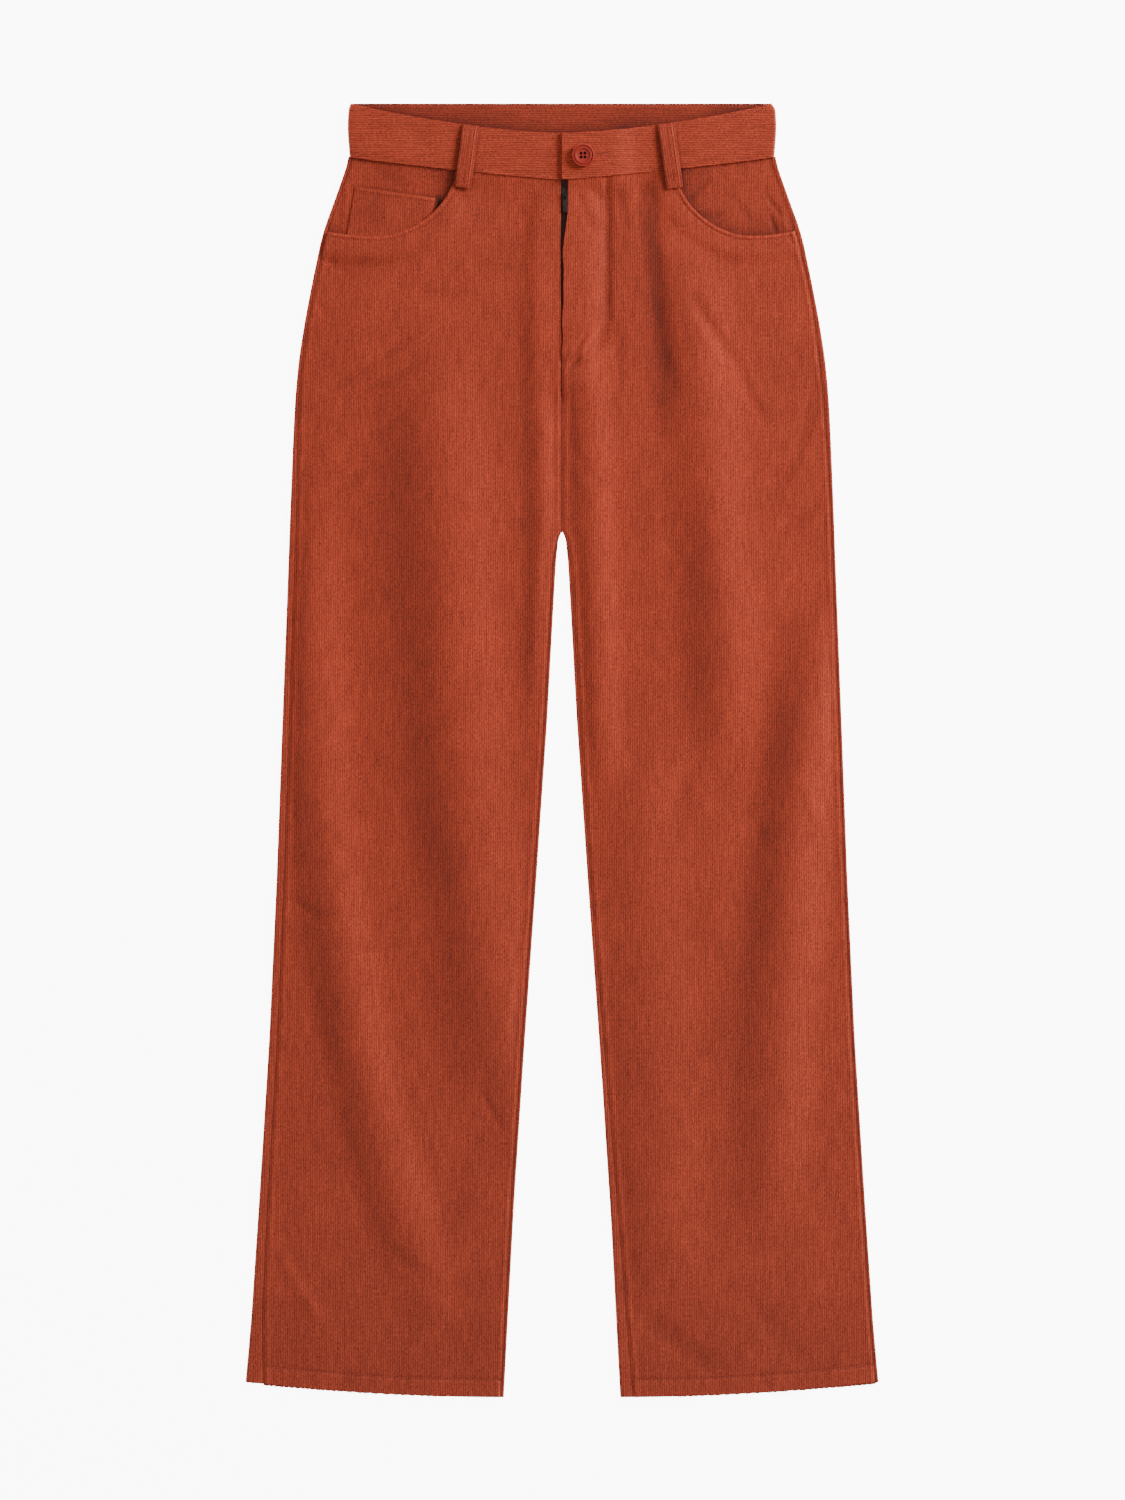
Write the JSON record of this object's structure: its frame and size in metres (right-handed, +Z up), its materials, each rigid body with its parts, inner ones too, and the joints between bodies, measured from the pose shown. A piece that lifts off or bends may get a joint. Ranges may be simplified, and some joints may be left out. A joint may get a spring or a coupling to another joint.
{
  "type": "corduroy trousers",
  "caption": "Long straight-leg corduroy trousers laid flat, front up, with a waistband, belt loops, scooped front pockets, a coin pocket, a button and a zip fly.",
  "frame": {"origin": "middle of the flat underside, on the surface that the trousers lie on, halfway up their length and under the centre-front line", "axes": "+Y along the legs towards the waist, +X towards the wearer's left leg, +Z up from the surface towards the front of the trousers"},
  "size_m": [0.515, 1.0474, 0.013],
  "materials": {
    "corduroy": "soft ribbed cotton corduroy, rust red, brushed pile with a low sheen",
    "zip_cloth": "plain woven polyester zip tape, dark rust",
    "zip_metal": "dark antiqued metal, satin",
    "button": "dyed-to-match resin, satin"
  },
  "bodies": {
    "garment": {"front_right": "corduroy", "front_left": "corduroy", "back_right": "corduroy", "back_left": "corduroy", "pocket_bearer_right": "corduroy", "pocket_bearer_left": "corduroy", "coin_pocket": "corduroy", "waistband": "corduroy", "belt_loop_front_right": "corduroy", "belt_loop_front_left": "corduroy", "belt_loop_back_centre": "corduroy", "belt_loop_side_right": "corduroy", "belt_loop_side_left": "corduroy", "zip_tape_right": "zip_cloth", "zip_tape_left": "zip_cloth", "zip_chain": "zip_metal", "zip_slider": "zip_metal", "button": "button"},
    "zip_pull_tab": {"zip_pull": "zip_metal"}
  },
  "joints": [
    {"name": "zip_pull_hinge", "type": "hinge", "parent": "garment", "child": "zip_pull_tab", "pos_m": [0.0024, 0.449, 0.00595], "axis": [-1, 0, 0], "range_deg": [0, 110]}
  ]
}
